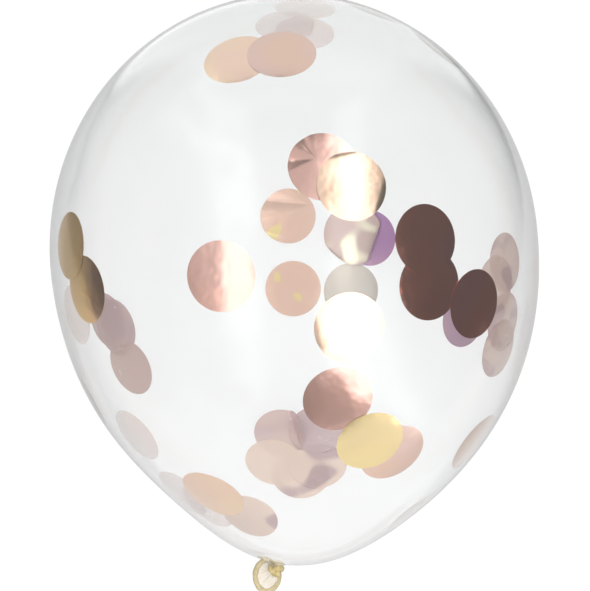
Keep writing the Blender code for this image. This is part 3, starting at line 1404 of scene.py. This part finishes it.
@dataclass
class Surround:
    """What gloss shows of the studio, by direction, and the plain backdrop behind it.

    A direction is how far it goes to the right, to the crown and to the top, each from -1 to 1.
    Where a panel rises, falls or lies between is given along one of these.
    """

    shape: BlownShape
    dark_level: float = 0.126  # where no panel shows
    strip_level: float = 1.9
    card_level: float = 0.72
    crown_level: float = 1.12
    knot_level: float = 1.15
    side_level: float = 0.26
    low_level: float = 1.05
    shoulder_level: float = 0.14
    shoulder_left_level: float = 0.22
    shoulder_floor_level: float = 0.5
    under_level: float = 0.62
    backdrop_level: float = 1.25
    lean: float = 0.16  # how far the panels' right edges lean over to the crown
    knot_lean: float = 0.38  # how far the right window leans in by the knot
    widening: float = 0.13  # how much wider it is part of the way there
    strip_gain: float = 1.15  # how much brighter it is than the left one
    strip_knot_gain: float = 0.10  # and what it gains by the knot
    card_gain: float = 0.35  # what the card gains to the right
    card_knot_fade: float = 0.56  # what it loses by the knot
    card_crown_fade: float = 0.72  # and by the crown
    crown_dip: float = 0.55  # how far the crown's panel dips as it nears the top
    lighter_share: float = 0.5  # how much of the low level shows straight under the balloon
    slant: float = 0.95  # how far the edge under the balloon slants to the crown
    slant_right: float = 0.06  # and how far it shifts at the right and at the left
    slant_left: float = 0.12

    def __post_init__(self) -> None:
        """Make the world that holds the panels, and the directions that they are laid out by."""
        world = bpy.data.worlds.new("studio")
        bpy.context.scene.world = world
        self.graph = Graph(world)
        direction = self.graph.add("ShaderNodeTexCoord", output="Generated")
        self.right = self.graph.dot(direction, Vector((1.0, 0.0, 0.0)))
        self.crown = self.graph.dot(direction, self.shape.crown_axis())
        self.top = self.graph.dot(direction, self.shape.top_axis())
        self.left, self.knot, self.down = -self.right, -self.crown, -self.top
        self.leaning = self.right + self.lean * self.crown
        self.above = self.top.rises(-0.12, 0.02)

    def strips(self) -> Signal:
        """Lay out two long windows overhead. The right one is wider and leans in by the knot.

        Returns:
            Where they show.
        """
        left = self.right.between(-0.55, -0.29, 0.05) * self.crown.between(-0.45, 0.87, 0.04)
        lean_in = (-0.42 - self.crown).at_least(0.0) * self.knot_lean
        wider = self.crown.between(-0.64, -0.20, 0.03) * self.widening
        right = (self.right - lean_in + wider).rises(0.235, 0.315) * self.leaning.falls(0.555, 0.635)
        gain = self.strip_gain + self.strip_knot_gain * self.knot.rises(0.45, 0.70)
        return (left + right * self.crown.between(-0.74, 0.87, 0.03) * gain) * self.above

    def card(self) -> Signal:
        """Lay out the wide pale card overhead, which fades to both ends.

        Returns:
            How much of it shows.
        """
        card = self.leaning.falls(0.65, 0.73) * self.left.falls(0.72, 0.88) * self.above
        card = card * (1.0 + self.card_gain * self.right.rises(0.08, 0.20))
        card = card * (1.0 - self.card_knot_fade * self.knot.rises(0.45, 0.65))
        return card * (1.0 - self.card_crown_fade * self.crown.rises(0.68, 0.80))

    def upper(self) -> Signal:
        """Put together what shows overhead, past both ends and at the left.

        Returns:
            The level.
        """
        off_side = abs(self.right)
        crown_end = (self.crown - self.crown_dip * self.top).rises(0.80, 0.86)
        crown_end = crown_end * self.top.falls(0.20, 0.35) * off_side.falls(0.45, 0.60)
        knot_end = self.knot.rises(0.55, 0.66) * self.top.falls(0.32, 0.42) * off_side.falls(0.66, 0.84)
        side = self.down.rises(0.22, 0.42) * self.crown.between(-0.16, 0.16, 0.07)
        side = side * self.left.rises(0.5, 0.6)
        plain = self.card() * self.card_level + side * self.side_level
        plain = plain.at_least(crown_end * self.crown_level).at_least(knot_end * self.knot_level)
        return self.dark_level + self.strips() * self.strip_level + plain

    def shoulder(self) -> Signal:
        """Put together what shows low down by the crown.

        Returns:
            The level to add.
        """
        left = self.shoulder_left_level * self.left.rises(0.2, 0.6)
        floor = self.shoulder_floor_level * self.down.rises(0.80, 0.93) * self.right.falls(-0.1, 0.2)
        shoulder = self.down.rises(0.35, 0.60) * self.crown.rises(0.22, 0.36)
        return shoulder * (self.shoulder_level + left + floor)

    def under(self) -> Signal:
        """Part what is under the balloon from what is beside it, by a slanting edge.

        Returns:
            1 under the balloon and 0 beside it.
        """
        edge = self.down - self.slant * self.crown.at_most(0.35).at_least(-0.30)
        edge = edge - self.slant_right * self.right.rises(0.0, 0.3)
        edge = edge + self.slant_left * self.left.rises(0.3, 0.55) * self.crown.rises(0.12, 0.25)
        return edge.rises(0.56, 0.59)

    def build(self) -> None:
        """Put the panels together and light the world with them."""
        low = self.down.rises(0.05, 0.35) * self.knot.rises(0.22, 0.42)
        level = self.upper().covered(low, self.low_level) + self.shoulder()
        lighter = self.lighter_share * self.down.rises(0.66, 0.88)
        lighter = self.knot.rises(0.05, 0.38).at_least(lighter)
        below = self.under_level + (self.low_level - self.under_level) * lighter
        level = level.covered(self.under(), below)
        seen = self.graph.add("ShaderNodeLightPath", output="Is Camera Ray")
        level = level.covered(seen, self.backdrop_level)
        glow = self.graph.add("ShaderNodeBackground", inputs={"Strength": level})
        self.graph.add("ShaderNodeOutputWorld", inputs={"Surface": glow})


@dataclass
class Studio:
    """Plain pale floor, one wide soft lamp overhead and soft panels that only gloss shows."""

    balloon: LyingBalloon
    floor_radius: float = 1.6
    floor_sides: int = 96
    floor_colour: Colour = (0.12, 0.12, 0.12)
    floor_roughness: float = 0.9
    floor_glow: float = 0.875
    glow_colour: Colour = (1.0, 1.0, 1.0)
    lamp_side: float = 3.0
    lamp_height: float = 2.6
    lamp_power: float = 52.0
    clear_walls: int = 24  # how many clear faces a ray may pass through

    def floor(self) -> bpy.types.Object:
        """Make the round floor that the balloon rests on.

        Returns:
            The floor.
        """
        rim = circle(turns(self.floor_sides)) * self.floor_radius
        floor = mesh_object("floor", rim, [list(range(self.floor_sides))])
        graph = Graph(bpy.data.materials.new("floor_paint"))
        surface = graph.principled(
            {
                "Base Color": self.floor_colour,
                "Roughness": self.floor_roughness,
                "Specular IOR Level": 0.0,
                "Emission Color": self.glow_colour,
                "Emission Strength": self.floor_glow,
            }
        )
        floor.data.materials.append(graph.show(surface))
        floor.visible_glossy = False
        return floor

    def lamp(self) -> bpy.types.Object:
        """Make the wide soft lamp overhead.

        Returns:
            The lamp.
        """
        light = bpy.data.lights.new("overhead", "AREA")
        light.shape = "SQUARE"
        light.size = self.lamp_side
        light.energy = self.lamp_power
        lamp = in_scene("overhead", light)
        lamp.location = (0.0, 0.0, self.lamp_height)
        lamp.visible_camera = False
        lamp.visible_glossy = False
        return lamp

    def build(self) -> None:
        """Set up the studio."""
        self.floor()
        self.lamp()
        Surround(self.balloon.shape).build()
        bpy.context.scene.view_settings.view_transform = "Standard"
        bpy.context.scene.cycles.transparent_max_bounces = self.clear_walls


@dataclass
class Viewpoint:
    """The camera: it looks down on the lying balloon, square to its long axis."""

    balloon: LyingBalloon
    distance: float = 1.26
    focal_length: float = 124.1
    nearest: float = 0.05
    aim_down: float = 27.4 * MM
    aim_side: float = 0.6 * MM

    def build(self) -> bpy.types.Object:
        """Make the camera and set it as the scene's.

        Returns:
            The camera.
        """
        back, crown = self.balloon.shape.top_axis(), self.balloon.shape.crown_axis()
        aside = Vector((self.aim_side, 0.0, 0.0))
        middle = self.balloon.matrix.translation
        place = middle + back * self.distance + aside
        target = middle - crown * self.aim_down + aside
        depth = (place - target).normalized()
        right = crown.cross(depth).normalized()
        matrix = Matrix((right, depth.cross(right), depth)).transposed().to_4x4()
        matrix.translation = place
        data = bpy.data.cameras.new("camera")
        data.lens = self.focal_length
        data.clip_start = self.nearest
        camera = in_scene("camera", data)
        camera.matrix_world = matrix
        bpy.context.scene.camera = camera
        return camera


# ---------------- putting it together


def main() -> None:
    """Build the balloon, its confetti and the studio."""
    logging.basicConfig(level=logging.INFO, format="%(message)s")
    low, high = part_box("balloon")
    balloon = LyingBalloon(BlownShape(), low, high)
    log.info("%s, girth radius %.4f m", frame["record"]["type"], balloon.girth)
    for piece in (LatexSkin(balloon).build(), *Confetti(balloon).build()):
        log.info("%s: %d faces", piece.name, len(piece.data.polygons))
    Studio(balloon).build()
    Viewpoint(balloon).build()


if __name__ == "__main__":
    main()
